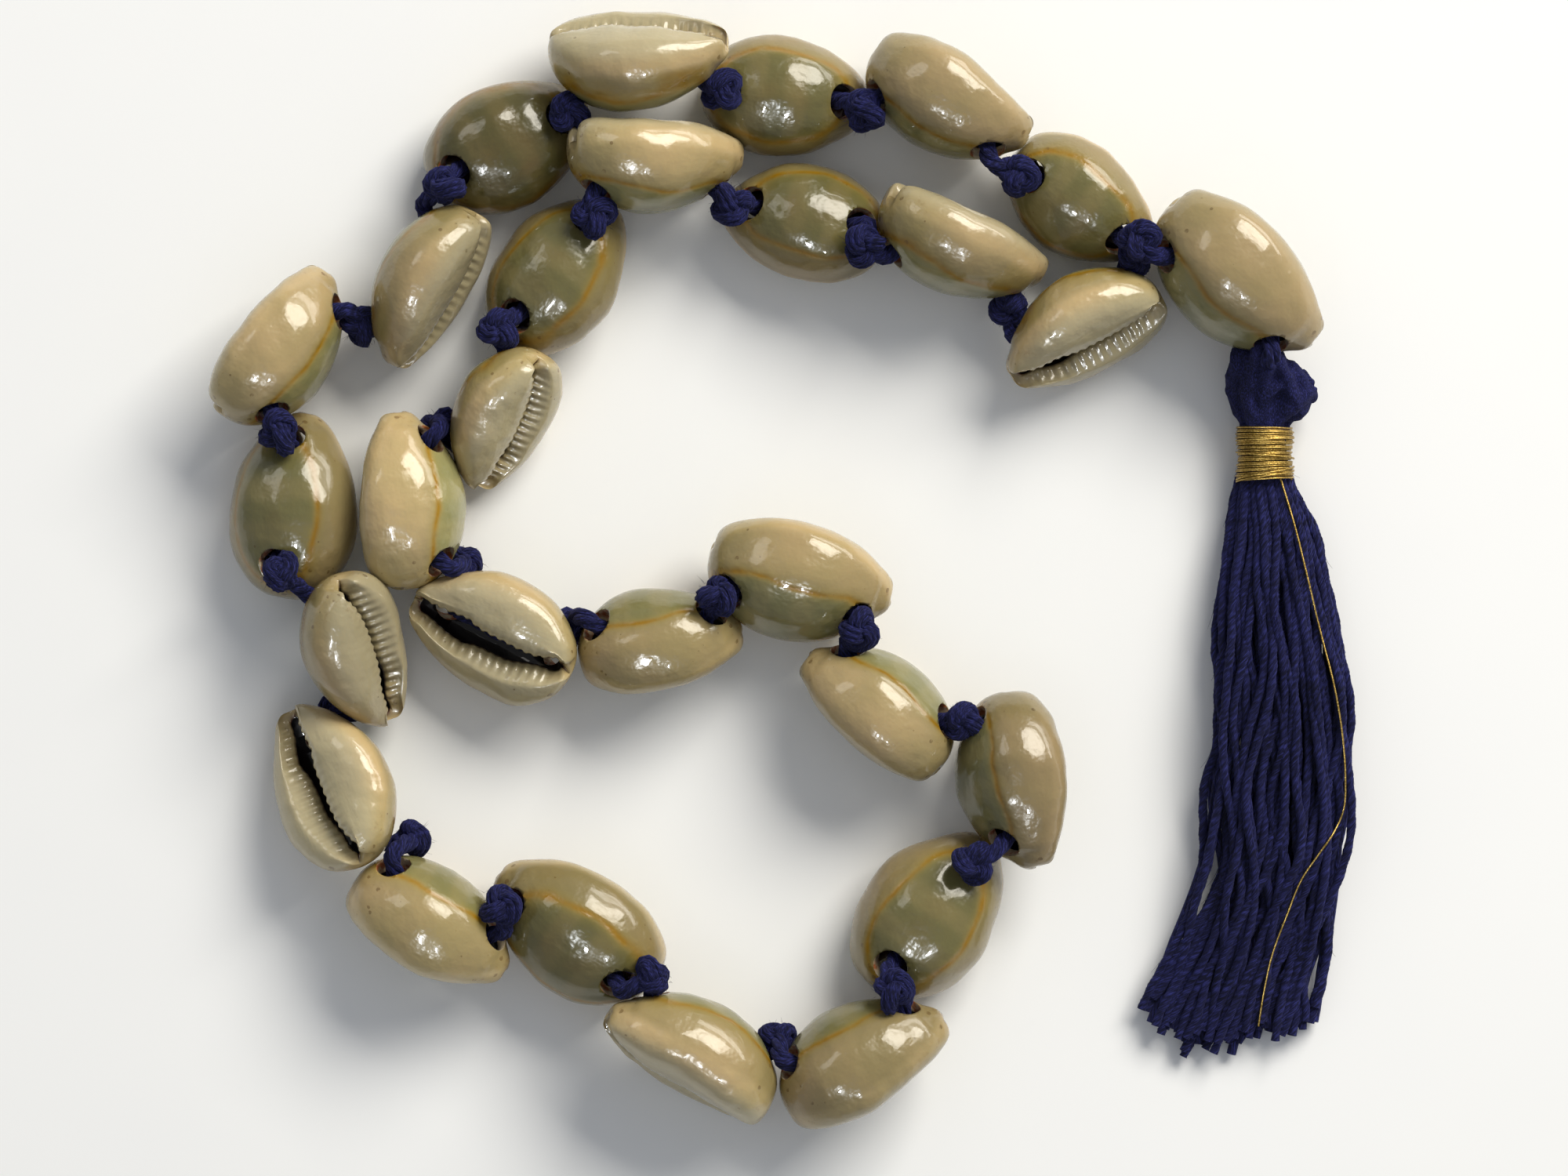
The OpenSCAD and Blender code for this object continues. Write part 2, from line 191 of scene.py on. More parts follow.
# Each shell: heading of its pointed end, roll of its back to the right of that heading, rise of
# the pointed end, size, the golden ring's shift towards the smooth lip and its half width
# against the shell's, width of the slit in millimetres, how olive its back is, and how light
# the whole shell is.
SHELLS = [
    (-43, 56, 0, guru_scale, -0.25, 0.60, 1.0, 0.10, 0.72),
    (-36, 20, 0, 0.87, 0.00, 0.80, 1.0, 0.80, 0.90),
    (-30, 62, 5, 0.95, -0.30, 0.60, 1.0, 0.25, 0.75),
    (-6, 3, 0, 0.91, 0.00, 0.78, 1.0, 0.85, 0.88),
    (0, 115, 12, 0.97, 0.25, 0.65, 1.8, 0.30, 0.92),
    (27, 5, 0, 0.94, 0.00, 0.95, 1.0, 1.00, 0.65),
    (241, 105, -6, 0.93, 0.15, 0.65, 0.8, 0.30, 0.80),
    (54, 65, -10, 0.95, -0.24, 0.60, 1.0, 0.30, 0.94),
    (86, -17, -4, 1.00, 0.06, 0.67, 1.0, 0.65, 0.80),
    (-72, 133, -27, 0.90, 0.15, 0.70, 2.0, 0.30, 0.78),
    (115, 148, -18, 0.95, 0.15, 0.70, 2.5, 0.35, 1.05),
    (-30, -55, 0, 0.94, 0.25, 0.60, 1.0, 0.55, 1.08),
    (146, -27, 0, 1.01, 0.00, 0.71, 1.0, 0.90, 0.92),
    (148, 100, 12, 1.01, 0.10, 0.60, 0.8, 0.45, 0.97),
    (31, -65, 0, 0.97, 0.30, 0.60, 1.0, 0.55, 0.77),
    (52, 0, 0, 1.00, 0.00, 0.67, 1.0, 0.75, 0.90),
    (-80, 52, 10, 0.96, -0.10, 0.60, 1.0, 0.30, 0.60),
    (140, 64, 0, 0.93, -0.16, 0.60, 1.0, 0.15, 0.88),
    (-15, 45, 0, 1.00, -0.04, 0.60, 1.0, 0.55, 1.00),
    (10, -48, 5, 0.89, 0.30, 0.60, 1.0, 0.50, 0.92),
    (154, 155, -8, 0.94, 0.10, 0.70, 3.4, 0.25, 0.97),
    (91, 62, 0, 0.95, -0.20, 0.60, 1.0, 0.15, 1.12),
    (243, 127, -25, 0.85, 0.20, 0.65, 1.6, 0.25, 1.00),
    (53, -12, 0, 0.94, 0.00, 0.72, 1.0, 0.75, 0.82),
    (-3, 78, -17, 0.96, 0.04, 0.60, 1.0, 0.30, 1.00),
    (168, 12, 0, 0.89, 0.00, 0.73, 1.0, 0.85, 0.80),
    (-25, 88, -18, 0.97, 0.13, 0.65, 0.8, 0.30, 0.82),
    (207, 125, 0, 0.91, 0.20, 0.65, 2.4, 0.30, 0.92),
]

# Sections from the blunt end to the pointed one: place along the length, half width against the
# widest, height of the back and height of the base.
SECTIONS = np.array([
    (-0.500, 0.04, 0.34, 0.26), (-0.460, 0.45, 0.62, 0.07), (-0.370, 0.71, 0.80, 0.02),
    (-0.220, 0.93, 0.95, 0.00), (-0.030, 1.00, 1.00, 0.00), (0.170, 0.89, 0.92, 0.01),
    (0.340, 0.63, 0.73, 0.06), (0.450, 0.36, 0.54, 0.14), (0.500, 0.04, 0.36, 0.28),
])

# One half of the wall, from the crown round the rim and the base to the lip, and back up inside:
# place on the way, shares of the half width, of the slit and of the lip's brow, and height.
WALL = np.array([
    (0.00, 0.00, 0.0, 0.00, 1.000), (0.09, 0.33, 0.0, 0.00, 0.965), (0.18, 0.63, 0.0, 0.00, 0.860),
    (0.27, 0.86, 0.0, 0.00, 0.680), (0.35, 0.98, 0.0, 0.00, 0.490), (0.42, 1.00, 0.0, 0.00, 0.330),
    (0.48, 0.93, 0.0, 0.00, 0.175), (0.54, 0.76, 0.0, 0.00, 0.065), (0.61, 0.50, 0.0, 0.00, 0.010),
    (0.68, 0.20, 0.6, 0.50, 0.000), (0.73, 0.02, 1.0, 0.50, 0.015), (0.77, 0.00, 1.0, 0.10, 0.060),
    (0.81, 0.00, 1.0, 0.00, 0.130), (0.86, 0.25, 0.6, 0.40, 0.240), (0.91, 0.66, 0.0, 0.00, 0.420),
    (0.955, 0.58, 0.0, 0.00, 0.700), (1.00, 0.00, 0.0, 0.00, 0.840),
])


def through(places, values, at):
    """A smooth curve through values at given places."""
    slopes = np.gradient(values, places)
    k = np.clip(np.searchsorted(places, at, side="right") - 1, 0, len(places) - 2)
    span = places[k + 1] - places[k]
    t = (at - places[k]) / span
    return ((1 + 2 * t) * (1 - t) ** 2 * values[k] + t * (1 - t) ** 2 * span * slopes[k]
            + t * t * (3 - 2 * t) * values[k + 1] + t * t * (t - 1) * span * slopes[k + 1])


def ease(value, low, high):
    t = np.clip((value - low) / (high - low), 0, 1)
    return t * t * (3 - 2 * t)


def bump(value, middle, width):
    return np.exp(-((value - middle) / width) ** 2)


def shell_blank():
    """A closed tube of a grid, welded along its seam and shut at both ends, for every shell."""
    bm = bmesh.new()
    bm.loops.layers.uv.new("UVMap")
    bmesh.ops.create_grid(bm, x_segments=rings_lengthways, y_segments=rings_around, size=1, calc_uvs=True)
    for v in bm.verts:
        turn = math.pi * v.co.y
        v.co = (v.co.x, math.cos(turn), math.sin(turn))
    bmesh.ops.remove_doubles(bm, verts=bm.verts, dist=1e-5)
    ends = [e for e in bm.edges if e.is_boundary]
    caps = bmesh.ops.holes_fill(bm, edges=ends, sides=0)["faces"]
    for cap in caps:
        for corner in cap.loops:
            corner[bm.loops.layers.uv.active].uv = (0.5, 0.5)
    bmesh.ops.recalc_face_normals(bm, faces=bm.faces)
    mesh = bpy.data.meshes.new("shell_blank")
    bm.to_mesh(mesh)
    bm.free()
    return mesh


def shell_form(lengthways, around, slit, seed):
    """Where the points of the blank go on a shell, in millimetres: x to the pointed end, z to the back."""
    rng = np.random.default_rng(seed)
    place = 0.5 * (0.6 * lengthways + 0.4 * np.sin(0.5 * math.pi * lengthways))
    turn = np.arccos(np.clip(-2 * place, -1, 1))
    stations = np.arccos(-2 * SECTIONS[:, 0])
    half = through(stations, SECTIONS[:, 1], turn) * shell_width / 2
    back = through(stations, SECTIONS[:, 2], turn)
    base = through(stations, SECTIONS[:, 3], turn)
    way, side = np.abs(around), np.sign(around)
    width_share, slit_share, brow_share, rise = (through(WALL[:, 0], WALL[:, k], way) for k in range(1, 5))

    # The slit widens towards the pointed end, and its lips curve over the hollow.
    open_at = 1 + 0.8 * bump(place, 0.22, 0.10) + 1.2 * ease(place, 0.36, 0.47)
    open_at = open_at - 0.35 * bump(place, -0.3, 0.12)
    gap = np.minimum(0.5 * slit * open_at, 0.30 * half)
    brow = np.minimum(1.0, 0.30 * half)
    out = width_share * half + slit_share * gap + brow_share * brow
    x = place * shell_length
    y = side * out
    z = (base + (back - base) * rise - 0.5) * shell_height

    # The slit bends to one side at the ends, and the outer lip sinks towards it.
    outer = side < 0
    at_lips = ease(way, 0.52, 0.70) * (1 - ease(way, 0.82, 0.92))
    bend = -0.35 + 1.3 * ease(-place, 0.12, 0.46) + 0.45 * ease(place, 0.2, 0.46)
    y = y + bend * at_lips * np.minimum(1, half / 4)

    sunk = np.where(outer, 1.5 * ease(way, 0.615, 0.775), 0.0) * np.minimum(1, half / 5)
    z = z + sunk * (1 - ease(way, 0.80, 0.90))

    # Teeth run across both lips.
    toothed = ease(place, -0.43, -0.36) * (1 - ease(place, 0.36, 0.43))
    wave = 0.5 + 0.5 * np.cos(2 * math.pi * (x + 0.35 * side) / tooth_pitch)
    ridge = np.where(outer, ease(way, 0.645, 0.71), ease(way, 0.69, 0.74)) * (1 - ease(way, 0.77, 0.83))
    z = z - (wave - 0.45) * toothed * ridge * np.where(outer, 0.21, 0.13)
    y = y - side * (wave - 0.2) * toothed * bump(way, 0.77, 0.035) * np.where(outer, 0.30, 0.22)

    # The lips stand out past both ends, with a notch between them.
    solid = np.minimum(1, half / 3.5) ** 1.5
    blunt = ease(-place, 0.38, 0.47) * solid
    pointed = ease(place, 0.38, 0.47) * solid
    skin = 1 - ease(way, 0.77, 0.86)
    lips = ease(way, 0.42, 0.66) * skin
    x = x - 0.45 * blunt * lips * outer + 0.8 * blunt * ease(way, 0.6, 0.72) * skin * ~outer
    y = y + 0.8 * blunt * lips * outer
    x = x - 0.6 * pointed * (1 - ease(way, 0.15, 0.5)) + 0.5 * pointed * lips
    x = x * (1 - 0.10 * (1 - skin))
    y = y + side * 0.5 * pointed * lips

    at_end = ease(np.abs(place), 0.40, 0.46) * ease(way, 0.20, 0.44) * skin
    groove = bump(y, np.where(place < 0, 1.0, 0.1), 0.70) * at_end * np.minimum(1, half / 2)
    x = x - np.sign(place) * 1.6 * groove
    z = z + 0.9 * groove

    # No shell is quite even: long swells and small dents are its own.
    points = np.stack([x, y, z], axis=1)
    for length, depth, count in ((15, 0.13, 4), (5.5, 0.035, 5), (2.6, 0.010, 6)):
        for _ in range(count):
            way_on = rng.normal(size=3)
            way_on /= np.linalg.norm(way_on)
            push = depth * np.sin(points @ way_on * 2 * math.pi / (length * rng.uniform(0.8, 1.3))
                                  + rng.uniform(0, 2 * math.pi))
            points = points + push[:, None] * np.stack([0 * x, y / 8.5, z / 5.8], axis=1)
    return points


def back_height(x):
    """How high the back of a shell is, at a distance along it."""
    place = x / shell_length
    return shell_height * (np.interp(place, SECTIONS[:, 0], SECTIONS[:, 2]) - 0.5)


def mouth(end):
    """The middle of a drilled hole, on the back."""
    return Vector((end * hole_reach, 0, back_height(end * hole_reach)))


def way_out(end):
    """The way that the cord takes out of a drilled hole."""
    lean = math.radians(hole_lean)
    return Vector((end * math.sin(lean), 0, math.cos(lean)))


def drill(size, seed):
    """The rough drill of both holes, with a ragged flare where the glaze chipped off."""
    rng = np.random.default_rng(seed)
    bm = bmesh.new()
    for end in (-1, 1):
        bmesh.ops.create_cone(bm, cap_ends=True, segments=26, radius1=1, radius2=1, depth=1)
        sides = [e for e in bm.edges
                 if not e.verts[0].tag and abs(e.verts[0].co.z - e.verts[1].co.z) > 0.5]
        bmesh.ops.subdivide_edges(bm, edges=sides, cuts=6, use_grid_fill=True)
        tool = [v for v in bm.verts if not v.tag]
        phases = rng.uniform(0, 2 * math.pi, 4)
        for v in tool:
            angle = math.atan2(v.co.y, v.co.x)
            high = 4.4 * v.co.z
            ragged = sum(math.sin(k * angle + phases[k % 4]) / k for k in (2, 3, 5, 7))
            flare = 0.55 * max(0, high + 0.2) * (0.5 + 0.35 * ragged)
            radius = hole_radius / size - 0.25 + 0.10 * ragged + flare
            v.co = (radius * math.cos(angle), radius * math.sin(angle), high)
            v.tag = True
        turn = Matrix.Rotation(math.radians(end * hole_lean), 4, "Y")
        bmesh.ops.transform(bm, matrix=Matrix.Translation(mouth(end)) @ turn, verts=tool)
    bmesh.ops.recalc_face_normals(bm, faces=bm.faces)
    for f in bm.faces:
        f.material_index = 1
    return bm


def node_group(name, inputs, outputs):
    """A node tree with named inputs and outputs, and the sockets of what it is given."""
    tree = bpy.data.node_groups.new(name, "ShaderNodeTree")
    for way, sockets in (("INPUT", inputs), ("OUTPUT", outputs)):
        for socket, kind in sockets.items():
            tree.interface.new_socket(name=socket, in_out=way, socket_type="NodeSocket" + kind)
    return tree, tree.nodes.new("NodeGroupInput").outputs


def hand_out(tree, **results):
    """What a group gives back."""
    answer = tree.nodes.new("NodeGroupOutput")
    for name, result in results.items():
        tree.links.new(result, answer.inputs[name])


def glaze_group():
    """The colours and relief of a ring cowrie, from the place in the shell's own millimetres."""
    tree, given = node_group(
        "cowrie_glaze",
        {"Place": "Vector", "Around": "Vector", "Ring shift": "Float", "Ring width": "Float",
         "Olive": "Float", "Tone": "Float"},
        {"Color": "Color", "Roughness": "Float", "Height": "Float"})
    place = given["Place"]
    parts = node(tree, "ShaderNodeSeparateXYZ", {0: place}).outputs
    uv = node(tree, "ShaderNodeSeparateXYZ", {0: given["Around"]}).outputs
    way = calc(tree, "ABSOLUTE", calc(tree, "SUBTRACT", calc(tree, "MULTIPLY", uv[1], 2.0), 1.0))

    # The golden ring is a rounded oblong on the back that wanders a little.
    wander = calc(tree, "SUBTRACT", noise(tree, place, 0.15, 0.0), 0.5)
    quiver = calc(tree, "SUBTRACT", noise(tree, place, 0.7, 0.0), 0.5)
    shift = calc(tree, "MULTIPLY", given["Ring shift"], shell_width / 2)
    width = calc(tree, "MULTIPLY", given["Ring width"], shell_width / 2)
    across = calc(tree, "DIVIDE", calc(tree, "SUBTRACT", parts[1], shift), width)
    along = calc(tree, "DIVIDE", calc(tree, "ADD", parts[0], 0.6), 9.6)
    across_part = calc(tree, "POWER", calc(tree, "ABSOLUTE", across), 2.2)
    along_part = calc(tree, "POWER", calc(tree, "ABSOLUTE", along), 2.2)
    reach = calc(tree, "SQRT", calc(tree, "ADD", across_part, along_part))
    off = calc(tree, "MULTIPLY", calc(tree, "SUBTRACT", reach, 1.0), width)
    off = calc(tree, "ADD", off, calc(tree, "ADD", calc(tree, "MULTIPLY", wander, 2.4),
                                      calc(tree, "MULTIPLY", quiver, 0.16)))
    on_back = step(tree, parts[2], -2.2, -0.6)
    inside = calc(tree, "MULTIPLY", step(tree, off, 0.35, -0.9), on_back)

    # Cream rims, paler underneath and greyer next to the ring.
    cloud = noise(tree, place, 0.07, 2.0)
    cream = blend(tree, step(tree, cloud, 0.35, 0.65), linear(192, 168, 124), linear(175, 157, 111))
    underneath = step(tree, parts[2], -2.5, -5.2)
    cream = blend(tree, calc(tree, "MULTIPLY", underneath, 0.75), cream, linear(180, 171, 141))
    greyed = step(tree, off, 3.2, 0.2)
    cream = blend(tree, calc(tree, "MULTIPLY", calc(tree, "MULTIPLY", greyed, on_back), 0.55),
                  cream, linear(143, 133, 94))
    dull = blend(tree, step(tree, cloud, 0.3, 0.7), linear(133, 114, 75), linear(119, 108, 71))
    dulled = calc(tree, "MULTIPLY", given["Olive"], calc(tree, "MULTIPLY", on_back, 0.75))
    skin = blend(tree, dulled, cream, dull)

    # The back inside the ring is greenish in broad bands, and brown at the crown of an olive one.
    bands = calc(tree, "SINE", calc(tree, "ADD", calc(tree, "MULTIPLY", parts[0], 1.05),
                                    calc(tree, "MULTIPLY", wander, 2.5)))
    pale = blend(tree, step(tree, bands, -0.8, 0.8), linear(140, 139, 96), linear(150, 146, 102))
    olive = blend(tree, step(tree, bands, -0.8, 0.8), linear(98, 93, 54), linear(112, 102, 62))
    back = blend(tree, given["Olive"], pale, olive)
    skin = blend(tree, calc(tree, "MULTIPLY", inside, 0.92), skin, back)
    crown = calc(tree, "MULTIPLY", step(tree, off, -2.4, -5.0), inside)
    brown = calc(tree, "MULTIPLY", calc(tree, "MULTIPLY", crown, given["Olive"]),
                 step(tree, cloud, 0.42, 0.6))
    skin = blend(tree, calc(tree, "MULTIPLY", brown, 0.6), skin, linear(124, 97, 57))

    # The ring itself: a broken golden line in a yellow haze.
    broken = step(tree, noise(tree, place, 0.35, 2.0), 0.30, 0.62)
    off_squared = calc(tree, "MULTIPLY", off, off)
    halo = calc(tree, "POWER", 2.718, calc(tree, "MULTIPLY", off_squared, -1.3))
    line = calc(tree, "POWER", 2.718, calc(tree, "MULTIPLY", off_squared, -6.5))
    halo = calc(tree, "MULTIPLY", calc(tree, "MULTIPLY", halo, on_back), 0.38)
    line = calc(tree, "MULTIPLY", calc(tree, "MULTIPLY", line, on_back),
                calc(tree, "ADD", calc(tree, "MULTIPLY", broken, 0.5), 0.45))
    skin = blend(tree, halo, skin, linear(156, 138, 62))
    skin = blend(tree, line, skin, linear(150, 112, 14))

    # Painted shade in the clefts between the teeth, brown specks and stains towards the ends, and the
    # hollow inside painted dark as shade.
    tooth = calc(tree, "COSINE", calc(tree, "MULTIPLY", parts[0], 2 * math.pi / tooth_pitch))
    # The clefts between the teeth are darkened a little as painted shade.
    lips = calc(tree, "MULTIPLY", step(tree, way, 0.60, 0.74), step(tree, tooth, 0.3, -0.9))
    skin = blend(tree, calc(tree, "MULTIPLY", lips, 0.16), skin, linear(101, 82, 53))

    dots = node(tree, "ShaderNodeTexVoronoi", {"Vector": place, "Scale": 0.62, "Randomness": 1.0})
    to_tips = step(tree, calc(tree, "ABSOLUTE", parts[0]), 3.0, 11.0, 0.05, 0.24)
    speck = calc(tree, "MULTIPLY", calc(tree, "LESS_THAN", dots.outputs["Distance"], to_tips),
                 step(tree, noise(tree, place, 0.8, 3.0), 0.5, 0.62))
    skin = blend(tree, calc(tree, "MULTIPLY", speck, 0.55), skin, linear(94, 66, 32))
    stain = calc(tree, "MULTIPLY", step(tree, noise(tree, place, 0.5, 4.0, 0.7), 0.58, 0.72),
                 step(tree, calc(tree, "ABSOLUTE", parts[0]), 5.0, 11.5))
    skin = blend(tree, calc(tree, "MULTIPLY", stain, 0.4), skin, linear(134, 102, 58))

    # The hollow inside the shell is painted dark brown, then near black further in, as painted shade; it is
    # also made rougher.
    shaded_hollow = step(tree, way, 0.775, 0.83)
    shade_colour = blend(tree, step(tree, way, 0.83, 0.9), linear(96, 58, 38), linear(30, 19, 18))
    skin = blend(tree, shaded_hollow, skin, shade_colour)

    # Faint growth lines under an uneven polish.
    stretched = node(tree, "ShaderNodeVectorMath", {0: place, 1: (0.5, 2.6, 2.6)}, operation="MULTIPLY")
    growth = noise(tree, stretched.outputs[0], 0.9, 3.0)
    height = calc(tree, "ADD", noise(tree, place, 0.55, 2.0), calc(tree, "MULTIPLY", growth, 0.12))
    height = calc(tree, "SUBTRACT", height, calc(tree, "MULTIPLY", line, 0.35))
    rough = calc(tree, "ADD", 0.16, calc(tree, "MULTIPLY", noise(tree, place, 0.7, 3.0), 0.14))
    rough = calc(tree, "ADD", rough, calc(tree, "MULTIPLY", shaded_hollow, 0.3))
    toned = node(tree, "ShaderNodeVectorMath", {0: skin, "Scale": given["Tone"]}, operation="SCALE")
    hand_out(tree, Color=toned.outputs[0], Roughness=rough, Height=height)
    return tree


glaze = glaze_group()


def glazed(name, matrix, ring_shift, ring_width, olive, tone):
    """A shell's own polish, with its pattern laid out in the shell's own frame."""
    material, tree, shader = new_material(name)
    where = node(tree, "ShaderNodeTexCoord").outputs
    place, turn, scale = matrix.decompose()
    own = node(tree, "ShaderNodeMapping", {"Vector": where["Object"], "Location": place,
                                           "Rotation": turn.to_euler(), "Scale": scale},
               vector_type="TEXTURE")
    skin = node(tree, "ShaderNodeGroup", node_tree=glaze)
    tree.links.new(own.outputs[0], skin.inputs["Place"])
    tree.links.new(where["UV"], skin.inputs["Around"])
    for key, value in (("Ring shift", ring_shift), ("Ring width", ring_width), ("Olive", olive),
                       ("Tone", tone)):
        skin.inputs[key].default_value = value
    relief = node(tree, "ShaderNodeBump", {"Height": skin.outputs["Height"], "Strength": 0.42,
                                           "Distance": 0.4 * MM})
    tree.links.new(skin.outputs["Color"], shader.inputs["Base Color"])
    tree.links.new(skin.outputs["Roughness"], shader.inputs["Roughness"])
    tree.links.new(relief.outputs[0], shader.inputs["Normal"])
    shader.inputs["Coat Weight"].default_value = 0.45
    shader.inputs["Coat Roughness"].default_value = 0.035
    shader.inputs["Coat IOR"].default_value = 1.55
    shader.inputs["Specular IOR Level"].default_value = 0.35
    shader.inputs["Subsurface Weight"].default_value = 0.12
    shader.inputs["Subsurface Radius"].default_value = (0.0012, 0.0008, 0.0005)
    shader.inputs["Subsurface Scale"].default_value = 1.0
    return material


# Where the drill broke through, the shell is rough and rusty.
broken_edge, edge_tree, edge_shader = new_material("drilled_edge")
edge_place = node(edge_tree, "ShaderNodeTexCoord").outputs["Object"]
edge_mottle = noise(edge_tree, edge_place, 900.0, 3.0)
edge_colour = blend(edge_tree, step(edge_tree, edge_mottle, 0.35, 0.65),
                    linear(168, 92, 44), linear(206, 190, 158))
edge_tree.links.new(edge_colour, edge_shader.inputs["Base Color"])
edge_grain = node(edge_tree, "ShaderNodeBump", {"Height": edge_mottle, "Strength": 0.6,
                                                "Distance": 0.2 * MM})
edge_tree.links.new(edge_grain.outputs[0], edge_shader.inputs["Normal"])
edge_shader.inputs["Roughness"].default_value = 0.7

blank = shell_blank()
blank_points = np.zeros(len(blank.vertices) * 3)
blank.vertices.foreach_get("co", blank_points)
blank_points = blank_points.reshape(-1, 3)
blank_along = blank_points[:, 0]
blank_around = np.arctan2(blank_points[:, 2], blank_points[:, 1]) / math.pi
blank_around[np.abs(blank_around) < 1e-6] = 1e-9


def seated(points, turn, size, name):
    """The matrix that lays a shell of these points in the place of its CAD node."""
    flat = np.array((turn @ Matrix.Scale(size * MM, 4)).to_3x3())
    laid = points @ flat.T
    low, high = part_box(name)
    middle = (laid.min(0) + laid.max(0)) / 2
    shift = Vector(((low.x + high.x) / 2 - middle[0], (low.y + high.y) / 2 - middle[1],
                    low.z - laid[:, 2].min()))
    return Matrix.Translation(shift) @ turn @ Matrix.Scale(size * MM, 4)


seats = []
for number, row in enumerate(SHELLS):
    heading, roll, rise, size, ring_shift, ring_width, slit, olive, tone = row
    points = shell_form(blank_along, blank_around, slit, seed=number)
    turn = Euler((math.radians(roll), math.radians(-rise), math.radians(heading))).to_matrix().to_4x4()
    seat = seated(points, turn, size, SHELL_NAMES[number])
    seats.append(seat)
    mesh = blank.copy()
    mesh.vertices.foreach_set("co", points.astype(np.float32).ravel())
    rough = bpy.data.objects.new("rough_shell", mesh)
    scene.collection.objects.link(rough)
    mesh.materials.append(glazed(f"cowrie_{number:02d}", seat, ring_shift, ring_width, olive, tone))
    mesh.materials.append(broken_edge)
    tool = link_mesh("drill", drill(size, seed=number), mesh.materials[0], broken_edge, smooth=True)
    cut = rough.modifiers.new("holes", "BOOLEAN")
    cut.operation = "DIFFERENCE"
    cut.solver = "MANIFOLD"
    cut.object = tool
    drilled = bpy.data.meshes.new_from_object(rough.evaluated_get(bpy.context.evaluated_depsgraph_get()))
    drilled.transform(seat)
    drilled.polygons.foreach_set("use_smooth", [True] * len(drilled.polygons))
    drilled.name = f"cowrie_{number:02d}"
    bpy.data.objects.remove(rough)
    bpy.data.objects.remove(tool)
    cowrie = bpy.data.objects.new("cowrie_guru" if number == 0 else f"cowrie_{number:02d}", drilled)
    scene.collection.objects.link(cowrie)
    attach(cowrie, "root")
    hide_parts(SHELL_NAMES[number])


# Cord
# One thick indigo cotton cord, loosely laid from four soft yarns. It comes out of each drilled
# hole, is knotted against the next shell, and goes back in. The big shell's far hole lets it
# out to the tassel.
knot_stand, cord_sink = 1.8, 2.86
cord_yarns, yarn_radius, yarn_lay, lay_pitch = 4, 0.56, 0.60, 9.0
knot_yarns, knot_yarn_radius, knot_reach = 7, 0.82 * yarn_radius, 2.9
knot_fibres, fibre_radius = 75, 0.032

# Each knot: how far it sits from the middle between its two holes, and its size.
KNOTS = [
    (0, 1.7, 0.6, 1), (1.6, -0.8, 0.3, 1), (0.7, -1.3, 0.2, 1), (0.9, -0.1, 0.6, 0.92),
    (-0.4, -0.8, 2.8, 0.86), (1.5, 0.2, 1.6, 0.9), (0.5, -0.8, -0.8, 0.92), (-0.1, -0.8, 1, 1),
    (-0.6, 1.1, 2.2, 0.92), (0.1, 0.5, 0.8, 0.8), (2.6, 1.4, -2.6, 0.84), (-0.4, 1.5, 0.8, 1),
    (2.1, 1.3, 1.5, 0.9), (0.1, 1.6, -2.6, 0.78), (-0.3, -0.9, 1.5, 1), (-1.5, -1.1, 0.2, 1),
    (0.3, -0.8, 0.4, 0.92), (0.3, 0.2, 0.7, 0.92), (0.2, 0.5, 0.7, 1), (-1, 1, -2.6, 0.6),
    (1.9, 2.2, -1.9, 0.85), (-1.4, 1.6, -2.8, 0.78), (-0.7, 0.2, 1.5, 0.95), (0.4, -1.1, 0.7, 1),
    (-0.1, -0.8, 1.8, 0.94), (-1.3, -0.6, 1.2, 1), (0.5, 1.7, 0.1, 0.9), (0, 0.6, 0.5, 0.74),
]


def cotton_group():
    """Colours and relief of soft indigo yarn: fibres along it, painted highlight on the crowns and painted
    shade in the clefts.
    """
    tree, given = node_group("indigo_cotton", {"Fibre way": "Vector", "Place": "Vector", "Ply": "Float"},
                             {"Color": "Color", "Height": "Float"})
    fibres = noise(tree, given["Fibre way"], 1.0, 5.0, 0.65)
    patches = noise(tree, given["Place"], 150.0, 2.0)
    # A dark navy in patches stands as painted shade in the clefts; the pale blue where fibres and plies
    # stand high is painted highlight.
    shade_colour = blend(tree, step(tree, patches, 0.3, 0.7), linear(13, 14, 35), linear(21, 22, 51))
    height = calc(tree, "ADD", fibres, given["Ply"])
    colour = blend(tree, step(tree, height, 0.42, 0.80), shade_colour, linear(60, 64, 138))
    hand_out(tree, Color=colour, Height=height)
    return tree


cotton = cotton_group()


